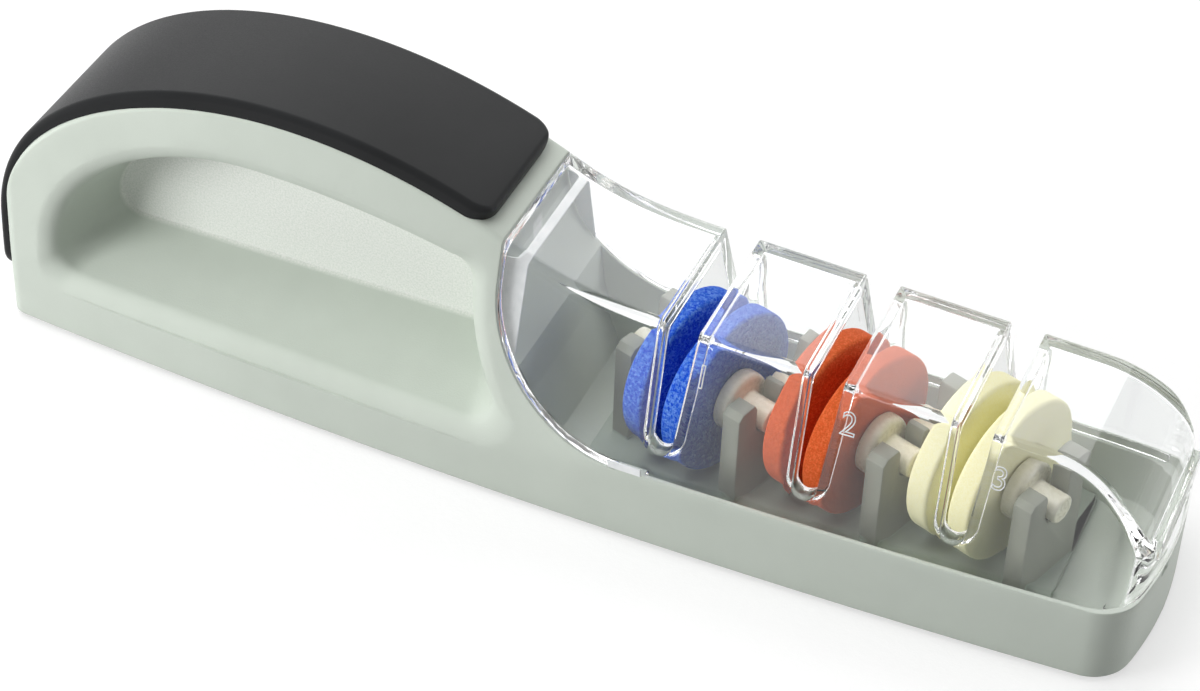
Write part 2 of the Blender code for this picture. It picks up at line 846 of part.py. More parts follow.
def make_feet():
    top = foot_standoff + foot_seat
    profile = [
        (0.0, top),
        (foot_radius, top),
        (foot_radius, foot_standoff / 2),
        (foot_radius - foot_standoff / 2, 0.0),
        (0.0, 0.0),
    ]
    for number, (x, y) in enumerate(foot_places(), 1):
        turned("foot_" + str(number), profile, False, small_ring_steps, foot_rubber, (x, y, 0.0))


make_body()
make_grip()
make_cradle()
for label, x, stone in zip(("coarse", "medium", "fine"), slot_places(),
                           (coarse_stone, medium_stone, fine_stone)):
    make_wheel_set(label, x, stone)
make_hood()
make_cover()
make_screws()
make_feet()
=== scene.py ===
import json
import math

import bmesh
import bpy
import numpy as np
from mathutils import Matrix, Vector


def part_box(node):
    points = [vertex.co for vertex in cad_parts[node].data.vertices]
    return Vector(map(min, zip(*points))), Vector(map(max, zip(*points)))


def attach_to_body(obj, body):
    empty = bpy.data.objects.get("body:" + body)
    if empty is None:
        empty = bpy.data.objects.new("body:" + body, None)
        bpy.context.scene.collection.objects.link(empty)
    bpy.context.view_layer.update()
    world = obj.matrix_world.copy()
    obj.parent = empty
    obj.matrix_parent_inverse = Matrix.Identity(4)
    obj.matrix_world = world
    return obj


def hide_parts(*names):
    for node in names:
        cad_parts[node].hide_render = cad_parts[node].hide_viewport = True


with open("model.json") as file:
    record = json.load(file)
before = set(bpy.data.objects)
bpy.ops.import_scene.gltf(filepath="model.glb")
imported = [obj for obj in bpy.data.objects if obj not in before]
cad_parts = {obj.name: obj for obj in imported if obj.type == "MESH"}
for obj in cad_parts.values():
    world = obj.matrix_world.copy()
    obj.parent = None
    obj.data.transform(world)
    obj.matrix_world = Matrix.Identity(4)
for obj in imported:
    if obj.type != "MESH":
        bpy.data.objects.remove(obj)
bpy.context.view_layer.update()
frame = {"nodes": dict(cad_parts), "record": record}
scene = bpy.context.scene
print("frame loaded")

# Water knife sharpener: arched handle, water trough, three pairs of grinding discs, clear hood.
# Metres. +X runs from the handle to the nose, -Y is the near side, the feet stand on z = 0.

# Sizes of the outer form, shared by the body, the grip and the hood
form = {
    "halfWidth": 0.0260, "widthLoss": 0.0039, "widestSetback": 0.0883, "bowReach": 0.1100,
    "standoff": 0.0008, "rim": 0.0172, "ridge": 0.0152, "crease": 0.0015, "footEdge": 0.0009,
    "noseCorner": 0.0080, "noseBow": 0.0015, "tailCorner": 0.0030, "noseReach": 0.0220,
    "archSetback": 0.0606, "archRise": 0.0413, "archBase": 0.0244, "archDrop": 0.0123,
    "swoopLead": 0.0025, "swoopLength": 0.0300, "hoodHeight": 0.0458, "hoodSlope": 0.04,
    "splitSetback": 0.0361, "splitRadius": 0.0285, "softBend": 0.0070,
    "gap": 0.0003, "over": 0.0050,
}
rim, gap, over = (form[key] for key in ("rim", "gap", "over"))
crestZ = form["archBase"] + form["archRise"]
wheelNames = ("coarse", "medium", "fine")


def middle(node):
    low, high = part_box(node)
    return (low + high) / 2


bodyLow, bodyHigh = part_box("body_shell")
tailX, noseX = bodyLow.x, bodyHigh.x
wheelX = [middle(name + "_spacer").x for name in wheelNames]
axleZ = middle("medium_spacer").z
noseStartX = noseX - form["noseReach"]
widestX = noseX - form["widestSetback"]
archX = tailX + form["archSetback"]
splitX = wheelX[0] - form["splitSetback"]
splitCentreX = splitX + form["splitRadius"]
swoopStartX = splitX + form["swoopLead"]
swoopEndX = swoopStartX + form["swoopLength"]
allDepth = form["halfWidth"] + over
allHeight = crestZ + over


# Meshes

def newObject(name, data):
    item = bpy.data.objects.new(name, data)
    scene.collection.objects.link(item)
    return item


# Points and faces become an object; a closed shape is turned to face outwards.
def newPiece(name, points, faces, weld=2e-6):
    mesh = bpy.data.meshes.new(name)
    mesh.from_pydata(np.asarray(points).reshape(-1, 3).tolist(), [], faces)
    tool = bmesh.new()
    tool.from_mesh(mesh)
    bmesh.ops.remove_doubles(tool, verts=tool.verts, dist=weld)
    bmesh.ops.dissolve_degenerate(tool, edges=tool.edges, dist=weld)
    bmesh.ops.recalc_face_normals(tool, faces=tool.faces)
    if tool.calc_volume(signed=True) < 0:
        bmesh.ops.reverse_faces(tool, faces=tool.faces)
    tool.to_mesh(mesh)
    tool.free()
    return newObject(name, mesh)


# Quads between neighbouring rows of a grid; wrap joins the last column to the first.
def gridFaces(rows, columns, wrap):
    row = np.arange(rows - 1)[:, None] * columns
    here = np.arange(columns if wrap else columns - 1)[None, :]
    after = (here + 1) % columns
    quads = np.stack([row + here, row + after, row + columns + after, row + columns + here], -1)
    return quads.reshape(-1, 4).tolist()


# A row of closed rings (rows, points, 3) skinned with quads and capped at both ends.
def loftPiece(name, rings):
    rings = np.asarray(rings)
    rows, columns = rings.shape[:2]
    faces = gridFaces(rows, columns, True)
    faces.append(list(range(columns)))
    faces.append(list(range((rows - 1) * columns, rows * columns)))
    return newPiece(name, rings, faces)


# A side-view outline set at y, which is one number or one for each point.
def atY(outline, y):
    return np.stack([outline[:, 0], np.broadcast_to(y, len(outline)), outline[:, 1]], -1)


# An outline in X and Z carried from -halfDepth to +halfDepth along Y.
def sidePrism(name, outline, halfDepth=allDepth):
    return loftPiece(name, [atY(np.asarray(outline), y) for y in (-halfDepth, halfDepth)])


def spanOutline(left, right, low, high):
    return [(left, low), (right, low), (right, high), (left, high)]


# Points centre + radius * (cos, sin) for turns from start to end, in quarter turns.
def arc(centreX, centreZ, radiusX, radiusZ, start, end, steps):
    turn = np.linspace(start, end, steps) * math.pi / 2
    return np.stack([centreX + radiusX * np.cos(turn), centreZ + radiusZ * np.sin(turn)], -1)


# The mesh of an object with its modifiers and curves worked out.
def finishedMesh(item):
    graph = bpy.context.evaluated_depsgraph_get()
    return bpy.data.meshes.new_from_object(item.evaluated_get(graph))


# One exact Boolean, applied at once; the cutter is thrown away.
def cut(target, cutter, operation="DIFFERENCE"):
    modifier = target.modifiers.new("cut", "BOOLEAN")
    modifier.operation = operation
    modifier.object = cutter
    modifier.solver = "EXACT"
    target.data = finishedMesh(target)
    target.modifiers.clear()
    bpy.data.objects.remove(cutter, do_unlink=True)
    return target


def smooth(piece, angle=30.0):
    piece.data.shade_smooth()
    piece.data.set_sharp_from_angle(angle=math.radians(angle))
    return piece


# Outer form: a function of x and height, the same for body, hood, rooms and grip

# radius - sqrt(radius^2 - run^2), the run being how far a place lies inside the corner.
def endLoss(distance, radius):
    run = np.clip(radius - np.maximum(distance, 0), 0, None)
    return radius - np.sqrt(np.maximum(radius ** 2 - run ** 2, 0))


# halfWidth - widthLoss * ((x - widestX) / bowReach)^2
def planWidth(x):
    return form["halfWidth"] - form["widthLoss"] * ((x - widestX) / form["bowReach"]) ** 2


# Plan: a slow parabola along the side, round corners, a shallow parabola across the nose.
def hullWidth(x, inset, corner=None):
    corner = corner or form["noseCorner"]
    full = planWidth(x) - inset
    flat = full - corner
    distance = noseX - inset - x
    turn = np.arctan(2 * form["noseBow"] / flat)
    meet = form["noseBow"] * (1 + corner * np.sin(turn) / flat) ** 2
    bow = flat * np.sqrt(np.clip(distance, 0, None) / form["noseBow"])
    side = full - endLoss(distance - meet + corner * (1 - np.cos(turn)), corner)
    return np.where(distance <= meet, bow, side) - endLoss(x - tailX - inset, form["tailCorner"])


def archFall(x):
    return form["archDrop"] * ((x - archX) / (swoopStartX - archX)) ** 2


def archSlope(x):
    return np.where(x > archX, -2 * form["archDrop"] * (x - archX) / (swoopStartX - archX) ** 2, 0.0)


def hoodLine(x):
    return form["hoodHeight"] - form["hoodSlope"] * (x - (wheelX[0] + wheelX[-1]) / 2)


# Side view: ellipse, falling parabola, cubic swoop, hood line, quarter ellipse at the nose.
def topHeight(x, inset=0.0):
    x = np.asarray(x, float)
    rearShare = np.clip((archX - x) / (archX - tailX - inset), 0, 1)
    rear = form["archBase"] + (form["archRise"] - inset) * np.sqrt(1 - rearShare ** 2)
    t = (x - swoopStartX) / form["swoopLength"]
    swoop = ((2 * t ** 3 - 3 * t ** 2 + 1) * (crestZ - form["archDrop"])
             + (3 * t ** 2 - 2 * t ** 3) * hoodLine(swoopEndX)
             + form["swoopLength"] * ((t ** 3 - 2 * t ** 2 + t) * archSlope(swoopStartX)
                                      - (t ** 3 - t ** 2) * form["hoodSlope"]))
    frontShare = np.clip((x - noseStartX) / (noseX - inset - noseStartX), 0, 1)
    front = rim + (hoodLine(noseStartX) - inset - rim) * np.sqrt(1 - frontShare ** 2)
    return np.select([x <= archX, x <= swoopStartX, x <= swoopEndX, x <= noseStartX],
                     [rear, crestZ - inset - archFall(x), swoop - inset, hoodLine(x) - inset], front)


# Inward lean of the side wall: (plan width - ridge) / (ridge height - rim).
def lean(x):
    x = np.asarray(x, float)
    ridge = np.select([x <= archX, x <= noseStartX], [crestZ + 0 * x, topHeight(x)], hoodLine(x))
    return (planWidth(x) - form["ridge"]) / (ridge - rim)


# Width of the bend at rim height: wide along the handle, nothing under the hood.
def softness(x):
    share = np.clip((splitCentreX - np.asarray(x, float)) / form["splitRadius"], 0, 1)
    return form["softBend"] * share ** 2 * (3 - 2 * share) + 1e-6


# What the lean takes from the half width at a height: lean * soft positive part of (z - rim).
def leanLoss(x, z, soft):
    rise = z - rim
    return lean(x) * (rise + np.sqrt(rise ** 2 + soft ** 2)) / 2


def wallY(x, z):
    return hullWidth(x, 0.0) - leanLoss(x, z, softness(x))


# Places along X, closer where the outline turns quickly; fine scales their number.
def hullStations(inset, fine):
    quarter = np.linspace(0, math.pi / 2, 12 * fine + 1)
    bow = noseX - inset - form["noseBow"] * (np.arange(1, 3 * fine) / (3 * fine)) ** 2
    corner = noseX - inset - np.linspace(form["noseBow"], form["noseCorner"] + form["noseBow"], 5 * fine)
    bends = (archX, swoopStartX, swoopEndX, noseStartX)
    parts = [archX - (archX - tailX - inset) * np.sin(quarter),
             tailX + inset + form["tailCorner"] * (1 - np.cos(quarter[1:])),
             *(np.linspace(start, end, 10 * fine)[1:] for start, end in zip(bends, bends[1:])),
             noseStartX + (noseX - inset - noseStartX) * np.sin(quarter[1:]), bow, corner]
    x = np.unique(np.round(np.concatenate(parts), 7))
    x = x[np.concatenate([[True], np.diff(x) > 2e-5])]
    x[-1] = noseX - inset
    return x


# Outer form at an inset. Cross-sections at each station: foot edge arc, wall, crease arc, then mirrored.
def hull(name, inset, bottom, fine=2, edge=0.0, corner=None):
    x = hullStations(inset, fine)[:, None]
    top = topHeight(x, inset)
    rise = np.maximum(top - rim, 0)
    side = hullWidth(x, inset, corner)
    radius = np.minimum(form["crease"], rise / 2)
    angle = math.pi / 2 - np.arctan(lean(x))
    soft = np.minimum(softness(x), rise * 0.8 + 1e-6)
    creaseY = side - lean(x) * rise
    centreY = creaseY - radius * np.tan(angle / 2)
    centreZ = top - radius
    footTurn = np.linspace(-math.pi / 2, 0, 6 if edge else 1)[None, :]
    footY = side + edge * (np.cos(footTurn) - 1)
    footZ = bottom + edge * (1 + np.sin(footTurn)) + 0 * x
    low = bottom + edge
    rimZ = np.minimum(rim, top)
    lowerZ = low + (rimZ - low) * np.linspace(0.15, 1, 8)[None, :]
    creaseTurn = angle * np.linspace(1, 0, 9)[None, :]
    wallTop = centreZ + radius * np.cos(angle)
    upperZ = rimZ + (wallTop - rimZ) * np.linspace(0, 1, 13)[None, 1:-1]
    bent = soft > 1e-5
    lowerY = np.where(bent, side - leanLoss(x, lowerZ, soft), side)
    upperY = side - np.where(bent, leanLoss(x, upperZ, soft), lean(x) * (upperZ - rim))
    upperY = np.where(top > rim + 1e-7, upperY, side)
    shift = np.where(bent, lean(x) * (wallTop - rim) - leanLoss(x, wallTop, soft), 0)
    crease = centreY + radius * np.sin(creaseTurn) + shift
    halfY = np.concatenate([footY, lowerY, upperY, crease], 1)
    halfZ = np.concatenate([footZ, lowerZ, upperZ, centreZ + radius * np.cos(creaseTurn)], 1)
    halfY = np.maximum(halfY, 0)
    ringY = np.concatenate([-halfY, halfY[:, ::-1]], 1)
    ringZ = np.concatenate([halfZ, halfZ[:, ::-1]], 1)
    return loftPiece(name, np.stack([x + 0 * ringY, ringY, ringZ], -1))


# What lies inside the inset outer form and also in a side-view outline.
def room(name, inset, outline, fine=2, corner=None):
    return cut(hull(name, inset, -over, fine, 0.0, corner), sidePrism("side", outline), "INTERSECT")


# Side view of the hood's room: upright back edge, quarter arc, then the rim.
def splitOutline(clearance, lowEdge):
    radius = form["splitRadius"] - clearance
    bend = arc(splitCentreX, form["hoodHeight"], radius, radius, 2, 3, 41)
    points = [(splitX + clearance, allHeight)] + bend.tolist()
    return points + [(splitCentreX, lowEdge), (noseX + over, lowEdge), (noseX + over, allHeight)]


# Materials

# Screen values of 0 to 255 to the linear colour that a shader takes.
def srgb(red, green, blue):
    value = np.array([red, green, blue]) / 255
    linear = np.where(value <= 0.04045, value / 12.92, ((value + 0.055) / 1.055) ** 2.4)
    return tuple(linear.tolist()) + (1.0,)


# A node material on Object coordinates, with short calls for its usual nodes.
class Finish:
    def __init__(self, name):
        self.material = bpy.data.materials.new(name)
        self.material.use_nodes = True
        self.tree = self.material.node_tree
        self.shader = self.tree.nodes["Principled BSDF"]
        self.output = self.tree.nodes["Material Output"]
        self.place = self.add("ShaderNodeTexCoord").outputs["Object"]

    # A number or a colour is set on the socket itself, anything else is linked to it.
    def feed(self, source, target):
        if isinstance(source, (float, tuple)):
            target.default_value = source
        else:
            self.tree.links.new(source, target)

    # A new node: its inputs are fed by name or number, other values are settings of its own.
    def add(self, kind, inputs=None, **settings):
        node = self.tree.nodes.new(kind)
        for key, value in settings.items():
            setattr(node, key, value)
        for key, source in (inputs or {}).items():
            self.feed(source, node.inputs[key])
        return node

    def shade(self, **values):
        for key, value in values.items():
            self.feed(value, self.shader.inputs[key.replace("_", " ")])

    # Noise whose grain is given as a length in metres.
    def noise(self, grain, detail=3.0, rough=0.6):
        inputs = {"Vector": self.place, "Scale": 1 / grain, "Detail": detail, "Roughness": rough}
        return self.add("ShaderNodeTexNoise", inputs).outputs["Fac"]

    # Colour ramp from (place, colour) stops.
    def ramp(self, source, *stops):
        node = self.add("ShaderNodeValToRGB", {"Fac": source})
        spots = node.color_ramp.elements
        for k, (place, colour) in enumerate(stops):
            spot = spots[k] if k < 2 else spots.new(place)
            spot.position = place
            spot.color = colour
        return node.outputs["Color"]

    def tones(self, source, dark, light, low=0.3, high=0.7):
        return self.ramp(source, (low, dark), (high, light))

    # Two shades that drift over a look's cloud noise.
    def clouded(self, look):
        return self.tones(self.noise(*look["cloud"]), *look["shades"])

    def span(self, source, low, high, fromLow=0.3, fromHigh=0.7):
        inputs = {"Value": source, "From Min": fromLow, "From Max": fromHigh, "To Min": low, "To Max": high}
        return self.add("ShaderNodeMapRange", inputs).outputs["Result"]

    def mix(self, share, first, second, kind="RGBA"):
        sockets = (0, 6, 7) if kind == "RGBA" else (0, 2, 3)
        node = self.add("ShaderNodeMix", dict(zip(sockets, (share, first, second))), data_type=kind)
        return node.outputs[2 if kind == "RGBA" else 0]

    def maths(self, operation, first, second=0.0):
        return self.add("ShaderNodeMath", {0: first, 1: second}, operation=operation).outputs[0]

    # 1 for a ray of one of the named kinds, else 0.
    def rays(self, *kinds):
        path = self.add("ShaderNodeLightPath")
        seen = path.outputs["Is %s Ray" % kinds[0]]
        for kind in kinds[1:]:
            seen = self.maths("MAXIMUM", seen, path.outputs["Is %s Ray" % kind])
        return seen

    # Bump of a given depth in metres; under may give the Normal that it lies on.
    def bump(self, source, depth, strength=1.0, **under):
        inputs = {"Height": source, "Distance": depth, "Strength": strength, **under}
        return self.add("ShaderNodeBump", inputs).outputs["Normal"]

    def rounded(self, radius):
        return self.add("ShaderNodeBevel", {"Radius": radius}, samples=6).outputs["Normal"]

    def placeParts(self):
        return self.add("ShaderNodeSeparateXYZ", {0: self.place}).outputs

    # 1 on the thin web between the finger pockets, else 0: near the middle plane, behind the hood's
    # joint line, over the pocket's floor and under its top, each with a short ramp.
    def webMask(self, front, half, low, high, ramp):
        x, y, z = self.placeParts()
        middle = self.span(self.maths("ABSOLUTE", y), 1.0, 0.0, half, half + ramp)
        behind = self.span(x, 1.0, 0.0, front, front + ramp)
        above = self.span(z, 0.0, 1.0, low, low + ramp)
        under = self.span(z, 1.0, 0.0, high, high + ramp)
        return self.maths("MULTIPLY", self.maths("MULTIPLY", middle, behind), self.maths("MULTIPLY", above, under))

    # Two shaders meet in a mix or a sum, which becomes the surface; share may give the mix's Fac.
    def join(self, kind, first, second, **share):
        both = self.add(kind, {-2: first, -1: second, **share})
        self.feed(both.outputs["Shader"], self.output.inputs["Surface"])


# In each look cloud, gloss and grain are (length, detail) of a noise, roughness is (lowest, highest)
# and shades are (dark, light), with the stretch of the noise that they span where it isn't the usual one.
plasticIor = 1.49
bodyLook = {"shades": (srgb(199, 207, 197), srgb(204, 212, 202)), "cloud": (0.018, 2.0), "roughness": (0.42, 0.54),
            "grain": (0.00032, 2.0, 0.5), "depth": 0.000032, "edge": 0.0005,
            "webShades": (srgb(222, 228, 220), srgb(242, 244, 239), 0.35, 0.65), "webGrain": (0.00040, 3.0, 0.6),
            "web": {"half": 0.0016, "low": 0.0118, "high": 0.0475, "ramp": 0.0008}}


# Light grey-green moulding with a fine spark texture, coarser and paler on the web.
def bodyPlastic():
    finish = Finish("bodyPlastic")
    grain = finish.noise(*bodyLook["grain"])
    sparks = finish.noise(*bodyLook["webGrain"])
    web = finish.webMask(splitX, **bodyLook["web"])
    tone = finish.mix(web, finish.clouded(bodyLook), finish.tones(sparks, *bodyLook["webShades"]))
    height = finish.mix(web, grain, sparks, "FLOAT")
    finish.shade(Base_Color=tone, IOR=plasticIor, Roughness=finish.span(grain, *bodyLook["roughness"]),
                 Normal=finish.bump(height, bodyLook["depth"], Normal=finish.rounded(bodyLook["edge"])))
    return finish.material


gripLook = {"shades": (srgb(25, 26, 27), srgb(33, 34, 35), 0.35, 0.8), "cloud": (0.03, 3.0),
            "roughness": (0.38, 0.48), "grain": (0.00030, 2.0, 0.5), "depth": 0.000012, "shine": 0.16}


# Near-black soft moulding, satin, a little greyer where hands polish it.
def gripRubber():
    finish = Finish("gripRubber")
    grain = finish.noise(*gripLook["grain"])
    finish.shade(Base_Color=finish.clouded(gripLook), Roughness=finish.span(grain, *gripLook["roughness"]),
                 Specular_IOR_Level=gripLook["shine"], Normal=finish.bump(grain, gripLook["depth"]))
    return finish.material


cradleLook = {"shades": (srgb(140, 143, 132), srgb(150, 153, 142)), "cloud": (0.009, 3.0),
              "paintedLitFloorShades": (srgb(164, 176, 164), srgb(172, 184, 172)), "floorTop": 0.0052, "floorRamp": 0.0004,
              "roughness": (0.38, 0.5), "grain": (0.0004, 2.0, 0.5), "depth": 0.00001, "edge": 0.0003}


# Warm mid-grey moulding with faint flow marks, greener on its floor and paler there as painted light from above.
def cradlePlastic():
    finish = Finish("cradlePlastic")
    grain = finish.noise(*cradleLook["grain"])
    cloud = finish.noise(*cradleLook["cloud"])
    top = cradleLook["floorTop"]
    # under floorTop the floor takes greener tones, made paler as painted light from above
    paintedLitFloor = finish.span(finish.placeParts()["Z"], 1.0, 0.0, top, top + cradleLook["floorRamp"])
    tone = finish.mix(paintedLitFloor, *(finish.tones(cloud, *cradleLook[key]) for key in ("shades", "paintedLitFloorShades")))
    finish.shade(Base_Color=tone, Roughness=finish.span(grain, *cradleLook["roughness"]),
                 Normal=finish.bump(grain, cradleLook["depth"], Normal=finish.rounded(cradleLook["edge"])))
    return finish.material


# tones: deep, light and the base between them
stoneLooks = {
    "coarse": {"tones": (srgb(12, 60, 200), srgb(120, 162, 234), srgb(36, 96, 206)),
               "grain": 0.00050, "depth": 0.00009, "roughness": (0.74, 0.90)},
    "medium": {"tones": (srgb(188, 84, 34), srgb(232, 122, 76), srgb(212, 84, 38)),
               "grain": 0.00030, "depth": 0.00003, "roughness": (0.64, 0.80)},
    "fine": {"tones": (srgb(244, 239, 184), srgb(252, 250, 218), srgb(249, 245, 200)),
             "grain": 0.00022, "depth": 0.000008, "roughness": (0.42, 0.58)},
}
stoneBlend = {"fleckShare": 0.55, "fleckGrain": 0.6, "fleckNoise": (3.0, 0.7), "cellStops": (0.25, 0.75, 0.5),
              "fleckStops": (0.38, 0.64, 0.5), "cellReach": 0.8, "shine": 0.15}


# Grit in a binder: cells and finer flecks in three tones, both of them raised.
def stone(label):
    look = stoneLooks[label]
    finish = Finish(label + "Stone")
    cells = finish.add("ShaderNodeTexVoronoi", {"Vector": finish.place, "Scale": 1 / look["grain"]}).outputs
    fleck = finish.noise(look["grain"] * stoneBlend["fleckGrain"], *stoneBlend["fleckNoise"])
    tint = finish.ramp(cells["Color"], *zip(stoneBlend["cellStops"], look["tones"]))
    flecks = finish.ramp(fleck, *zip(stoneBlend["fleckStops"], look["tones"]))
    height = finish.maths("ADD", finish.span(cells["Distance"], 1.0, 0.0, 0.0, stoneBlend["cellReach"]), fleck)
    finish.shade(Base_Color=finish.mix(stoneBlend["fleckShare"], tint, flecks),
                 Roughness=finish.span(fleck, *look["roughness"]), Specular_IOR_Level=stoneBlend["shine"],
                 Normal=finish.bump(height, look["depth"]))
    return finish.material


clearLook = {"tint": (0.985, 0.992, 0.992, 1), "through": (0.99, 0.99, 0.99, 1), "smear": (0.006, 3.0),
             "roughness": (0.0, 0.02, 0.35, 0.75), "wave": (0.012, 1.0), "waveDepth": (0.00002, 0.5)}


# Clear acrylic: a refracting shell that lets the lamps' light and soft light straight through.
def clearPlastic():
    finish = Finish("clearPlastic")
    finish.shade(Base_Color=clearLook["tint"], IOR=plasticIor, Transmission_Weight=1.0,
                 Roughness=finish.span(finish.noise(*clearLook["smear"]), *clearLook["roughness"]),
                 Normal=finish.bump(finish.noise(*clearLook["wave"]), *clearLook["waveDepth"]))
    through = finish.add("ShaderNodeBsdfTransparent", {"Color": clearLook["through"]})
    finish.join("ShaderNodeMixShader", finish.shader.outputs["BSDF"], through.outputs["BSDF"],
                Fac=finish.rays("Shadow", "Diffuse"))
    return finish.material


plainLooks = {
    # cream nylon, smooth, slightly milky
    "axlePlastic": {"shades": (srgb(241, 236, 212), srgb(247, 244, 226)), "cloud": (0.004, 2.0),
                    "gloss": (0.0008, 2.0), "roughness": (0.22, 0.34), "grain": (0.0012, 2.0), "depth": 0.00001},
    # matt white: the raised marks of the clear moulding, the white slab behind its rear edge that is a painted
    # reflection, and a small white patch
    "frostedMarkAndPaintedReflection": {"shades": (srgb(226, 229, 230), srgb(242, 244, 245)), "cloud": (0.003, 2.0),
                    "gloss": (0.0006, 2.0), "roughness": (0.30, 0.42), "grain": (0.0012, 2.0), "depth": 0.00001},
    "screwSteel": {"shades": (srgb(168, 168, 170), srgb(196, 196, 198)), "cloud": (0.0015, 3.0),
                   "gloss": (0.0003, 4.0), "roughness": (0.22, 0.4)},
    "footRubber": {"shades": (srgb(44, 44, 45), srgb(60, 60, 61)), "cloud": (0.002, 3.0),
                   "gloss": (0.0003, 3.0), "roughness": (0.65, 0.85), "grain": (0.0004, 3.0), "depth": 0.00003},
}


# Clouded colour, clouded gloss and, where the look has a grain, a fine bump.
def plainFinish(name, metallic=0.0):
    look = plainLooks[name]
    finish = Finish(name)
    finish.shade(Base_Color=finish.clouded(look), Metallic=metallic,
                 Roughness=finish.span(finish.noise(*look["gloss"]), *look["roughness"]))
    if "grain" in look:
        finish.shade(Normal=finish.bump(finish.noise(*look["grain"]), look["depth"]))
    return finish.material


finishes = {
    "body_plastic": bodyPlastic(), "grip_rubber": gripRubber(), "cradle_plastic": cradlePlastic(),
    "clear_plastic": clearPlastic(), "axle_plastic": plainFinish("axlePlastic"), "coarse_stone": stone("coarse"),
    "medium_stone": stone("medium"), "fine_stone": stone("fine"), "screw_steel": plainFinish("screwSteel", 1.0),
    "foot_rubber": plainFinish("footRubber"),
}
# matt white for the raised digits and for the painted reflection in the hood's rear edge
markAndPaintedReflectionFinish = plainFinish("frostedMarkAndPaintedReflection")
nodeSlots = {row["node"]: row["material_slot"] for row in frame["record"]["subparts"]}
nodeBodies = {node: body for body, nodes in frame["record"]["behaviour"]["bodies"].items() for node in nodes}


def paint(piece, material):
    piece.data.materials.clear()
    piece.data.materials.append(material)


for node, item in frame["nodes"].items():
    paint(item, finishes[nodeSlots[node]])
print("materials ready")


# A detail without a CAD node of its own: it rides on a body and has its own finish.
def attach(piece, body, material):
    paint(piece, material)
    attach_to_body(piece, body)


# Narrow round edges where faces meet at more than the sharp angle, applied at once, then smooth shading.
def softEdges(piece, width, clamp=True, sharp=40, seam=38):
    bevel = piece.modifiers.new("edges", "BEVEL")
    bevel.width = width
    bevel.segments = 2
    bevel.limit_method = "ANGLE"
    bevel.angle_limit = math.radians(sharp)
    bevel.use_clamp_overlap = clamp
    piece.data = finishedMesh(piece)
    piece.modifiers.clear()
    return smooth(piece, seam)


# The piece stands for a CAD node: same body, same slot, that slot's finish.
def dress(piece, node):
    paint(piece, finishes[nodeSlots[node]])
    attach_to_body(piece, nodeBodies[node])
    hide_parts(node)


# Body shell

pocket = {"floor": 0.0113, "margin": 0.0081, "topSetback": 0.0040, "top": 0.0568, "spring": 0.0210,
          "drop": 0.0073, "neck": 0.0019, "frontRadius": 0.0444, "frontCorner": 0.0080, "corner": 0.0050,
          "lip": 0.0040, "flare": 0.22, "draft": 0.0100, "frontDraft": 0.0045, "web": 0.0024, "sag": 0.20,
          "rows": (0.35, 0.7, 0.9)}
trough = {"wall": 0.0028, "floor": 0.0032, "setback": 0.0055, "slope": 0.0035, "rabbet": 0.0020,
          "rabbetWall": 0.0013, "lead": 0.0060, "seat": 0.0004}
notch = {"standoff": 0.0018, "across": -0.0065, "radius": 0.0027, "low": 0.0158}
cover = {"thickness": 0.0026, "margin": 0.0032, "setback": 0.0025, "counterbore": 0.0015, "edge": 0.0003}


# Rim of the finger pocket in side view: front arc, falling ceiling, quarter ellipse, floor.
def pocketOutline(inset, frontInset):
    floor = pocket["floor"] + inset
    lowCorner = pocket["frontCorner"] - frontInset / 2
    radius = pocket["frontRadius"] + frontInset
    frontX = splitX - pocket["neck"]
    topX = archX - pocket["topSetback"]
    corner = pocket["corner"]

    def front(z):
        return frontX + pocket["frontRadius"] - np.sqrt(radius ** 2 - (form["hoodHeight"] - z) ** 2)

    def ceiling(x):
        return pocket["top"] - inset - pocket["drop"] * ((x - topX) / (frontX - topX)) ** 2

    shoulderZ = min(ceiling(frontX - frontInset - corner) - corner, form["hoodHeight"])
    bendZ = floor + lowCorner
    shoulderX = front(shoulderZ) - corner
    reach = topX - (tailX + pocket["margin"]) - inset
    springZ = max(pocket["spring"], floor + corner)
    height = np.linspace(bendZ, shoulderZ, 25)[1:]
    across = np.linspace(shoulderX, topX, 31)[1:]
    return np.concatenate([
        arc(front(bendZ) - lowCorner, bendZ, lowCorner, lowCorner, -1, 0, 17),
        np.stack([front(height), height], -1),
        arc(shoulderX, shoulderZ, corner, ceiling(shoulderX) - shoulderZ, 0, 1, 17)[1:],
        np.stack([across, ceiling(across)], -1),
        arc(topX, springZ, reach, pocket["top"] - inset - springZ, 1, 2, 41)[1:],
        arc(topX - reach + corner, floor + corner, corner, corner, 2, 3, 17),
    ])


# Rim outline carried inwards: quarter-round lip, then a slightly hollow wall down to the web.
def pocketCutter(side):
    rings = [atY(pocketOutline(0.0, 0.0), side * allDepth)]
    for turn in np.linspace(0, math.pi / 2, 11):
        inset = pocket["lip"] * math.sin(turn)
        depth = pocket["lip"] * (1 - math.cos(turn)) + pocket["flare"] * inset * (1 - math.sin(turn))
        outline = pocketOutline(inset, inset)
        rings.append(atY(outline, side * (wallY(*outline.T) - depth)))
    lipRing = rings[-1]
    webRing = atY(pocketOutline(pocket["draft"], pocket["frontDraft"]), side * pocket["web"] / 2)
    for share in pocket["rows"]:
        sag = 1 - pocket["sag"] * share * (1 - share)
        rings.append(lipRing + (webRing - lipRing) * np.array([share * sag, share, share * sag]))
    return loftPiece("pocketCutter", rings + [webRing])


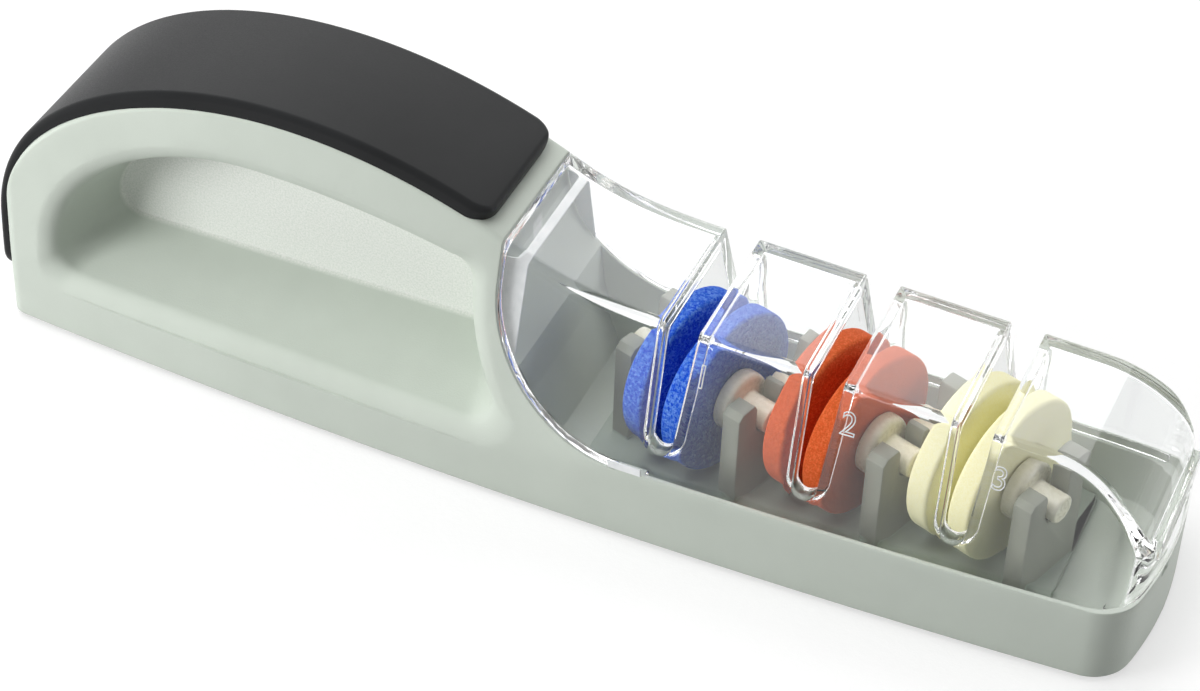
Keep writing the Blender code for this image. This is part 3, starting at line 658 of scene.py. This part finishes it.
# Upright round cutter under a screw or a foot.
def postCutter(place, radius, low, high, steps=48):
    turn = np.linspace(0, 2 * math.pi, steps + 1)[:-1]
    ring = np.stack([place[0] + radius * np.cos(turn), place[1] + radius * np.sin(turn)], -1)
    return loftPiece("post", [np.column_stack([ring, np.full(steps, z)]) for z in (low, high)])


def footCutter(node):
    low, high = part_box(node)
    return postCutter(middle(node), (high.x - low.x) / 2 + gap, -over, high.z + gap)


footNodes = ["foot_%d" % k for k in range(1, 7)]
screwNodes = ["cover_screw_%d" % k for k in range(1, 5)]


def makeBody():
    body = hull("bodyShell", 0.0, form["standoff"], 3, form["footEdge"])
    # the rim just meets the clear wall, so that no wheel is mirrored in the wall's foot
    cut(body, sidePrism("hoodSide", splitOutline(0.0, rim + trough["seat"])))
    for side in (-1, 1):
        cut(body, pocketCutter(side))
    rearX = splitX + trough["setback"]
    outline = [(rearX + trough["slope"], trough["floor"]), (noseX, trough["floor"]), (noseX, allHeight),
               (rearX, allHeight), (rearX, rim)]
    cut(body, room("troughRoom", trough["wall"], outline))
    lead = splitCentreX + trough["lead"] - gap
    cut(body, room("rabbetRoom", trough["rabbetWall"], spanOutline(lead, noseX, rim - trough["rabbet"], allHeight)))
    coverX = splitX - cover["setback"]
    cut(body, room("coverRoom", cover["margin"] - gap,
                   spanOutline(tailX, coverX, -over, form["standoff"] + cover["thickness"] + gap)))
    for node in footNodes:
        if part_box(node)[0].x > coverX:
            cut(body, footCutter(node))
    cut(body, postCutter((noseX + notch["standoff"], notch["across"]), notch["radius"], notch["low"], allHeight))
    dress(smooth(body), "body_shell")


makeBody()
print("body shell built")


# Grip band over the handle

grip = {"thickness": 0.0027, "tailThickness": 0.0012, "edge": 0.0013, "tailInset": 0.0013, "depth": 0.0034,
        "endShare": 0.40, "margin": 0.0035, "tailHeight": 0.0103, "endRound": 0.0014, "planRound": 0.0048,
        "endStep": 0.10}


# Band carried along the handle's back: half section (across, rise) with a round upper edge.
# Path points: falling parabola, ellipse quarter, then straight down the tail. At both ends the
# thickness falls with sqrt(1 - (1 - s / endRound)^2) and the width by a round corner in plan.
def makeGrip():
    frontX = splitX - grip["margin"]
    ease = np.linspace(0, 1, 25)[:-1] ** 2 * grip["endStep"]
    x = frontX + (archX - frontX) * np.concatenate([ease, np.linspace(grip["endStep"], 1, 50)])
    slope = archSlope(x)
    turn = np.linspace(0, math.pi / 2, 70)[1:]
    reach = archX - tailX
    ease = 1 - np.linspace(1, 0, 25) ** 2
    z = form["archBase"] + (grip["tailHeight"] - form["archBase"]) * ease[1:]
    place = np.concatenate([
        np.stack([x, topHeight(x)], -1),
        np.stack([archX - reach * np.sin(turn), form["archBase"] + form["archRise"] * np.cos(turn)], -1),
        np.stack([np.full(len(z), tailX), z], -1)])
    normal = np.concatenate([
        np.stack([-slope, np.ones(len(x))], -1),
        np.stack([-np.sin(turn) / reach, np.cos(turn) / form["archRise"]], -1),
        np.stack([-np.ones(len(z)), np.zeros(len(z))], -1)])
    normal /= np.linalg.norm(normal, axis=1, keepdims=True)
    run = np.concatenate([[0], np.cumsum(np.linalg.norm(np.diff(place, axis=0), axis=1))])
    fade = np.clip(np.minimum(run, run[-1] - run) / grip["endRound"], 0, 1)
    squeeze = grip["endShare"] + (1 - grip["endShare"]) * np.sqrt(1 - (1 - fade) ** 2)
    backward = np.clip(-normal[:, 0], 0, 1) ** 2
    thickness = (gap + grip["thickness"] - (grip["thickness"] - grip["tailThickness"]) * backward) * squeeze
    across = wallY(np.maximum(place[:, 0], tailX + form["tailCorner"]), place[:, 1]) - grip["tailInset"] * backward
    across -= endLoss(np.minimum(run, run[-1] - run), grip["planRound"])
    edge = grip["edge"] * squeeze
    cornerTurn = np.linspace(0, math.pi / 2, 10)[None, :]
    inner = (across - grip["edge"])[:, None]
    halfY = np.concatenate([inner + edge[:, None], inner + edge[:, None] * np.cos(cornerTurn)], 1)
    rise = np.concatenate([np.full((len(run), 1), -grip["depth"]),
                           (thickness - edge)[:, None] + edge[:, None] * np.sin(cornerTurn)], 1)
    ringY = np.concatenate([-halfY, halfY[:, ::-1]], 1)
    ringRise = np.concatenate([rise, rise[:, ::-1]], 1)
    points = np.stack([place[:, :1] + normal[:, :1] * ringRise, ringY, place[:, 1:] + normal[:, 1:] * ringRise], -1)
    band = loftPiece("gripPad", points)
    cut(band, hull("gripSeat", -gap / 3, form["standoff"], 3))
    dress(smooth(band, 40), "grip_pad")


makeGrip()
print("grip built")


# Wheel sets

wheel = {"radius": 0.0162, "outerFace": 0.0070, "rimGap": 0.0023, "hubRadius": 0.0076, "edge": 0.0009,
         "core": 0.0036, "shaft": 0.0029, "stub": 0.0015, "chamfer": 0.0006, "flange": 0.0063,
         "flangeEdge": 0.0016, "spacerHalf": 0.0005, "spacer": 0.0070, "yaw": -18.5, "play": 0.0010,
         "support": 0.0040, "bend": 0.0003, "hubBend": 0.0008, "shaftBend": 0.0005, "spacerBend": 0.0002}
yaw = math.radians(wheel["yaw"])
axis = np.array([math.cos(yaw), math.sin(yaw), 0.0])
sideways = np.array([-axis[1], axis[0], 0.0])
upward = np.array([0, 0, 1.0])
pitch = wheelX[1] - wheelX[0]
supportReach = pitch * axis[0] / 2
shaftHalf = supportReach + wheel["support"] / 2 + wheel["stub"]
shoulder = wheel["outerFace"] + gap
flangeEnd = supportReach - wheel["support"] / 2 - wheel["play"]


# Corners (radius, along, rounding) joined by short quadratic bends where rounding > 0.
def roundedProfile(corners):
    corners = np.asarray(corners, float)
    points = []
    for k, (radius, along, rounding) in enumerate(corners):
        here = np.array([radius, along])
        if rounding <= 0:
            points.append(here[None, :])
            continue
        before = corners[k - 1, :2] - here
        after = corners[(k + 1) % len(corners), :2] - here
        start = here + before / np.linalg.norm(before) * rounding
        end = here + after / np.linalg.norm(after) * rounding
        t = np.linspace(0, 1, 7)[:, None]
        points.append((1 - t) ** 2 * start + 2 * t * (1 - t) * here + t ** 2 * end)
    return np.concatenate(points)


# Surface of turning: centre + along * axis + radius * (cos * sideways + sin * up).
def turnedPiece(name, profile, centre, closed, steps=96, frameOf=(axis, sideways, upward)):
    turn = np.arange(steps) / steps * 2 * math.pi
    along, first, second = frameOf
    radial = np.cos(turn)[:, None] * first + np.sin(turn)[:, None] * second
    if closed:  # the last ring meets the first one and is merged with it
        profile = np.concatenate([profile, profile[:1]])
    grid = np.asarray(centre) + profile[:, None, 1:2] * along + profile[:, None, 0:1] * radial[None]
    return smooth(newPiece(name, grid, gridFaces(len(profile), steps, True)), 40)


def makeWheels(label, x):
    def turned(ending, corners, closed, side=1, steps=96):
        profile = roundedProfile(corners) * np.array([1, side])
        dress(turnedPiece(label + ending + "_fine", profile, (x, 0.0, axleZ), closed, steps), label + ending)

    bore, face, half = wheel["core"] + gap, wheel["outerFace"], wheel["spacerHalf"]
    disc = [(bore, face, 0), (wheel["radius"], face, wheel["edge"]),
            (wheel["radius"], wheel["rimGap"], wheel["edge"]), (wheel["hubRadius"], half + gap, wheel["hubBend"]),
            (bore, half + gap, 0)]
    for ending, side in (("_front_disc", 1), ("_rear_disc", -1)):
        turned(ending, disc, True, side, 128)
    shaft, flange, edge, bend = (wheel[key] for key in ("shaft", "flange", "flangeEdge", "bend"))
    turned("_axle", [
        (0.0, shaftHalf, 0), (shaft, shaftHalf, wheel["chamfer"]), (shaft, flangeEnd, wheel["shaftBend"]),
        (flange, flangeEnd, edge), (flange, shoulder, bend), (wheel["core"], shoulder, 0),
        (wheel["core"], gap - face, 0), (shaft, gap - face, 0), (shaft, -shaftHalf, wheel["chamfer"]),
        (0.0, -shaftHalf, 0)], False)
    inner = shaft + gap / 2
    turned("_collar", [(inner, -shoulder, 0), (flange, -shoulder, bend), (flange, -flangeEnd, edge),
                       (inner, -flangeEnd, bend)], True)
    outer, bend = wheel["spacer"], wheel["spacerBend"]
    turned("_spacer", [(bore, half, 0), (outer, half, bend), (outer, -half, bend), (bore, -half, 0)], True)


for label, x in zip(wheelNames, wheelX):
    makeWheels(label, x)
print("wheel sets built")


# Hood

hoodSizes = {"wall": 0.0026, "tongueWall": 0.0010, "slotTop": 0.0068, "slotLow": 0.0048, "slotLowHeight": 0.0226,
             "lipWall": 0.0016, "lipDepth": 0.0038, "barWidth": 0.0260, "barHeight": 0.0050, "barSetback": 0.0006,
             "barLevel": 0.0243, "edge": 0.00025, "innerCorner": 0.0030}


# Side view of a slot: half circle at its foot, then sides that open upwards.
def slotOutline(x, widen):
    low = hoodSizes["slotLow"] / 2 + widen
    roundZ = hoodSizes["slotLowHeight"] + hoodSizes["slotLow"] / 2
    flare = (hoodSizes["slotTop"] - hoodSizes["slotLow"]) / 2 / (form["hoodHeight"] - roundZ)
    top = low + flare * (allHeight - roundZ)
    return [(x - top, allHeight)] + arc(x, roundZ, low, low, 2, 4, 33).tolist() + [(x + top, allHeight)]


def makeHood():
    hood = room("hoodShell", 0.0, splitOutline(gap, rim + gap), 3)
    lead = splitCentreX + trough["lead"]
    tongue = spanOutline(lead, noseX, rim - trough["rabbet"] + gap, rim + over)
    cut(hood, room("tongueRoom", hoodSizes["wall"] - hoodSizes["tongueWall"], tongue), "UNION")
    bar = spanOutline(noseStartX, noseX - hoodSizes["barSetback"], hoodSizes["barLevel"],
                      hoodSizes["barLevel"] + hoodSizes["barHeight"])
    cut(hood, sidePrism("bar", bar, hoodSizes["barWidth"] / 2), "UNION")
    everywhere = spanOutline(tailX, noseX, -over, allHeight)
    cavity = room("hoodCavity", hoodSizes["wall"], everywhere, 2, hoodSizes["innerCorner"])
    for x in wheelX:
        cut(cavity, sidePrism("slotLip", slotOutline(x, hoodSizes["lipWall"])))
    cut(cavity, room("hoodCore", hoodSizes["lipDepth"], everywhere, 2, hoodSizes["innerCorner"]), "UNION")
    cut(hood, cavity)
    for x in wheelX:
        cut(hood, sidePrism("slot", slotOutline(x, 0.0), allDepth + over))
    dress(softEdges(hood, hoodSizes["edge"], False), "hood")


# Two thin slabs that follow both side walls: form at the outer inset less form at the inner one,
# within a side-view outline.
def wallBand(name, outer, inner, outline):
    return smooth(cut(room(name, outer, outline, 3), hull("inside", inner, -over * 2, 3)))


marks = {"height": 0.0045, "stroke": 0.00007, "bevel": 0.02, "setback": (0.00549, 0.00570, 0.00618),
         "level": (0.03917, 0.03862, 0.03681)}
paintedReflectionBand = {"width": 0.0046, "inset": 0.0027, "thickness": 0.0003, "top": 0.0502}
whitePatch = {"start": 0.0269, "end": 0.0335, "low": 0.01752, "high": 0.0187, "slant": 0.0003, "proud": 0.00008,
       "depth": 0.0003}


# Outline of a digit as a thin round stroke, laid on the near wall: (u, v, w) goes to
# (x + u, -wall half width - w, z + v).
def makeDigit(number, x, z):
    curve = bpy.data.curves.new("digit", "FONT")
    curve.body = str(number)
    curve.fill_mode = "NONE"
    curve.bevel_depth = marks["bevel"]
    curve.bevel_resolution = 2
    item = newObject("digit", curve)
    mesh = finishedMesh(item)
    bpy.data.objects.remove(item, do_unlink=True)
    points = np.array([vertex.co for vertex in mesh.vertices])
    low, high = points.min(0), points.max(0)
    scale = marks["height"] / (high[1] - low[1])
    u, v, w = ((points - (low + high) / 2) * scale).T
    w *= marks["stroke"] / np.abs(w).max()
    placed = np.stack([x + u, -(wallY(x + u, z + v) + w), z + v], -1)
    mesh.vertices.foreach_set("co", placed.ravel())
    mesh.update()
    mesh.shade_smooth()
    attach(newObject("digit_%d" % number, mesh), "hood", markAndPaintedReflectionFinish)


def makeHoodDetails():
    for number, (x, setback, level) in enumerate(zip(wheelX, marks["setback"], marks["level"]), 1):
        makeDigit(number, x + setback, level)
    # a white slab behind each side wall, between the rear edge and an upright line: a painted reflection in the
    # clear wall's rear end
    radius = form["splitRadius"] - gap
    innerX = splitX + paintedReflectionBand["width"]
    turn = math.acos((innerX - splitCentreX) / radius) / (math.pi / 2)
    bend = arc(splitCentreX, form["hoodHeight"], radius, radius, 2, 4 - turn, 17).tolist()
    outline = [(splitX + gap, paintedReflectionBand["top"])] + bend + [(innerX, paintedReflectionBand["top"])]
    band = wallBand("hoodPaintedReflection", paintedReflectionBand["inset"], paintedReflectionBand["inset"] + paintedReflectionBand["thickness"], outline)
    attach(band, "hood", markAndPaintedReflectionFinish)
    # a small white slab on each side wall just above the joint line
    left, right = splitX + whitePatch["start"], splitX + whitePatch["end"]
    outline = [(left - whitePatch["slant"], whitePatch["high"]), (left, whitePatch["low"]), (right, whitePatch["low"]),
               (right - whitePatch["slant"], whitePatch["high"])]
    attach(wallBand("hoodWhitePatch", -whitePatch["proud"], whitePatch["depth"], outline), "hood", markAndPaintedReflectionFinish)


makeHood()
makeHoodDetails()
print("hood built")


# Wheel cradle: thin floor and upright plates across the axles.

cradle = {"gap": 0.0004, "floor": 0.0014, "rearMargin": 0.0054, "frontMargin": 0.0032, "clearance": 0.0004,
          "flare": 0.0012, "horn": 0.0052, "hornHeight": 0.0050, "farExtra": 0.0026, "edge": 0.00025}
cradleLow = trough["floor"] + gap


# Seen along the axle: two horns with chamfered tops and a round-bottomed notch for each shaft.
def supportOutline(notches):
    half = wheel["shaft"] + cradle["clearance"]
    flare = cradle["flare"]
    hornTop = axleZ + cradle["hornHeight"]
    farTop = hornTop + cradle["farExtra"]
    near = notches[0] - half - cradle["horn"]
    far = notches[-1] + half + cradle["horn"]
    low = cradleLow + cradle["floor"] / 2
    points = [[near, low], [near, hornTop - flare], [near + flare, hornTop]]
    for k, centre in enumerate(notches):
        top = farTop if k == len(notches) - 1 else hornTop
        points += [[centre - half - flare / 2, hornTop], [centre - half, hornTop - flare]]
        points += arc(centre, axleZ, half, half, 2, 4, 25).tolist()
        points += [[centre + half, top - flare], [centre + half + flare / 2, top]]
    return np.array(points + [[far - flare, farTop], [far, farTop - flare], [far, low]])


# The outline stands at (x, y), square to the axle, pushed out along it to the plate's thickness.
def supportPlate(x, y, notches):
    outline = supportOutline(notches)
    centres = (np.array([x, y, 0]) + side * wheel["support"] / 2 * axis for side in (-1, 1))
    return loftPiece("supportPlate", [
        centre + outline[:, :1] * sideways + outline[:, 1:] * upward for centre in centres])


def makeCradle():
    rearX = wheelX[0] - pitch / 2 - cradle["rearMargin"]
    frontX = wheelX[-1] + pitch / 2 + cradle["frontMargin"]
    piece = room("wheelCradle", trough["wall"] + cradle["gap"],
                 spanOutline(rearX, frontX, cradleLow, cradleLow + cradle["floor"]))
    reachX, reachY = supportReach * axis[0], supportReach * axis[1]
    cut(piece, supportPlate(wheelX[0] - reachX, -reachY, [0.0]), "UNION")
    for k, x in enumerate(wheelX):
        notches = [0.0] if k == len(wheelX) - 1 else [0.0, -pitch * axis[1]]
        cut(piece, supportPlate(x + reachX, reachY, notches), "UNION")
    dress(softEdges(piece, cradle["edge"]), "wheel_cradle")


makeCradle()
print("wheel cradle built")


# Underside: cover, screws with a cross recess, feet with a round groove.

upright = (upward, np.array([1.0, 0, 0]), np.array([0, 1.0, 0]))
screw = {"shank": 0.0013, "head": 0.0025, "headDepth": 0.0010, "slotHalf": 0.00042, "slotReach": 0.0015,
         "slotDepth": 0.0007, "taper": 0.75, "tipBend": 0.0003, "upperBend": 0.0001, "lowerBend": 0.0004}
foot = {"round": 0.0006, "topBend": 0.0002, "bend": 0.0001, "grooveOuter": 0.0027, "grooveInner": 0.0019,
        "grooveDepth": 0.0003}


def makeCover():
    low = form["standoff"]
    coverX = splitX - cover["setback"] - gap
    piece = room("baseCover", cover["margin"], spanOutline(tailX, coverX, low, low + cover["thickness"]))
    for node in screwNodes:
        place = middle(node)
        cut(piece, postCutter(place, screw["shank"] + gap, -over, over * 2))
        cut(piece, postCutter(place, screw["head"] + gap, -over, low + cover["counterbore"]))
    for node in footNodes:
        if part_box(node)[0].x < coverX:
            cut(piece, footCutter(node))
    dress(softEdges(piece, cover["edge"]), "base_cover")


# Turned head and shank; the recess is a plus-shaped outline that narrows upwards.
def makeScrew(node):
    low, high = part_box(node)
    place = np.array([(low.x + high.x) / 2, (low.y + high.y) / 2, 0])
    shank, head, headTop = screw["shank"], screw["head"], low.z + screw["headDepth"]
    profile = roundedProfile([
        (0.0, high.z, 0), (shank, high.z, screw["tipBend"]), (shank, headTop, 0),
        (head, headTop, screw["upperBend"]), (head, low.z, screw["lowerBend"]), (0.0, low.z, 0)])
    piece = turnedPiece(node + "_fine", profile, place, False, 64, upright)
    a, b = screw["slotHalf"], screw["slotReach"]
    plus = np.array([(a, b), (-a, b), (-a, a), (-b, a), (-b, -a), (-a, -a), (-a, -b), (a, -b), (a, -a), (b, -a),
                     (b, a), (a, a)])
    rings = [np.column_stack([place[:2] + plus * scale, np.full(len(plus), z)])
             for scale, z in ((1.0, low.z - screw["slotDepth"]), (screw["taper"], low.z + screw["slotDepth"]))]
    dress(smooth(cut(piece, loftPiece("recess", rings)), 38), node)


def makeFoot(node):
    low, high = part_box(node)
    radius = (high.x - low.x) / 2
    place = ((low.x + high.x) / 2, (low.y + high.y) / 2, 0)
    outer, inner, bend, deep = foot["grooveOuter"], foot["grooveInner"], foot["bend"], low.z + foot["grooveDepth"]
    profile = roundedProfile([
        (0.0, high.z, 0), (radius, high.z, foot["topBend"]), (radius, low.z, foot["round"]), (outer, low.z, bend),
        (outer - bend, deep, bend), (inner + bend, deep, bend), (inner, low.z, bend), (0.0, low.z, 0)])
    dress(turnedPiece(node + "_fine", profile, place, False, 64, upright), node)


makeCover()
for node in screwNodes:
    makeScrew(node)
for node in footNodes:
    makeFoot(node)
print("underside built")


# Stage, light and camera

stage = {"reach": 3.0, "drop": 0.00005, "tone": (0.45, 0.45, 0.45, 1), "roughness": 0.9, "grain": (0.002, 3.0),
         "depth": 0.00005, "glow": 0.60, "fade": (0.5, 1.8)}


# A wide pale floor that the camera, gloss and glass see as white, with the object's shadow kept.
# Far out, where the lamps' light fades, its glow grows so that it stays white.
def makeStage():
    reach = stage["reach"]
    corners = [(x, y, -stage["drop"]) for x, y in spanOutline(-reach, reach, -reach, reach)]
    floor = newPiece("floor", corners, [(0, 1, 2, 3)])
    finish = Finish("floorPaper")
    finish.shade(Base_Color=stage["tone"], Roughness=stage["roughness"],
                 Normal=finish.bump(finish.noise(*stage["grain"]), stage["depth"]))
    far = finish.add("ShaderNodeVectorMath", {0: finish.place}, operation="LENGTH").outputs["Value"]
    level = finish.maths("MULTIPLY", finish.rays("Camera", "Glossy", "Transmission"),
                         finish.span(far, stage["glow"], 1.0, *stage["fade"]))
    glow = finish.add("ShaderNodeEmission", {"Strength": level})
    finish.join("ShaderNodeAddShader", finish.shader.outputs["BSDF"], glow.outputs["Emission"])
    paint(floor, finish.material)


lamps = {
    "left": {"place": (-0.56, -0.52, 0.21), "size": (0.35, 0.35), "power": 4.6, "shine": False},
    "back": {"place": (-0.27, 0.80, 0.75), "size": (1.5, 1.0), "power": 7.6, "shine": True},
    "above": {"place": (-0.22, -0.12, 0.80), "size": (0.6, 0.5), "power": 3.4, "shine": False},
    "right": {"place": (0.80, 0.25, 0.24), "size": (0.4, 0.4), "power": 1.8, "shine": True},
}
lampTarget = Vector((0.0, 0.0, 0.02))
fillLevel = 0.08


def makeLight():
    world = bpy.data.worlds.new("studio")
    scene.world = world
    world.use_nodes = True
    tree = world.node_tree
    tree.nodes["Background"].inputs["Color"].default_value = (1, 1, 1, 1)
    path = tree.nodes.new("ShaderNodeLightPath")
    level = tree.nodes.new("ShaderNodeMapRange")  # 1 for rays that see the room, less for the light it gives
    level.inputs["To Min"].default_value = 1.0
    level.inputs["To Max"].default_value = fillLevel
    tree.links.new(path.outputs["Is Diffuse Ray"], level.inputs["Value"])
    tree.links.new(level.outputs["Result"], tree.nodes["Background"].inputs["Strength"])
    for name, lamp in lamps.items():
        light = bpy.data.lights.new(name, "AREA")
        light.shape = "RECTANGLE"
        light.size, light.size_y = lamp["size"]
        light.energy = lamp["power"]
        item = newObject(name, light)
        item.location = Vector(lamp["place"])
        item.visible_glossy = lamp["shine"]
        item.rotation_euler = (lampTarget - item.location).to_track_quat("-Z", "Y").to_euler()


view = {"azimuth": 22.19, "elevation": 41.15, "roll": -2.15, "focal": 3194.99, "distance": 0.53205,
        "target": (0.02768, -0.05815, 0.07709), "width": 1200, "sensor": 36, "near": 0.01}


# Looks at the target from the given turn, height and distance; focal is in picture widths.
def makeCamera():
    a, e, r = (math.radians(view[key]) for key in ("azimuth", "elevation", "roll"))
    back = Vector((math.sin(a) * math.cos(e), -math.cos(a) * math.cos(e), math.sin(e)))
    right = Vector((math.cos(a), math.sin(a), 0))
    up = back.cross(right)
    columns = (right * math.cos(r) - up * math.sin(r), right * math.sin(r) + up * math.cos(r), back)
    matrix = Matrix(columns).transposed().to_4x4()
    matrix.translation = Vector(view["target"]) + back * view["distance"]
    data = bpy.data.cameras.new("camera")
    data.sensor_width = view["sensor"]
    data.lens = view["focal"] / view["width"] * view["sensor"]
    data.clip_start = view["near"]
    camera = newObject("camera", data)
    camera.matrix_world = matrix
    scene.camera = camera


makeStage()
makeLight()
makeCamera()
scene.view_settings.view_transform = "Standard"
scene.cycles.glossy_bounces = 12  # light is turned back many times inside the clear walls
scene.cycles.transmission_bounces = 16
scene.cycles.max_bounces = 16
print("stage, light and camera set")
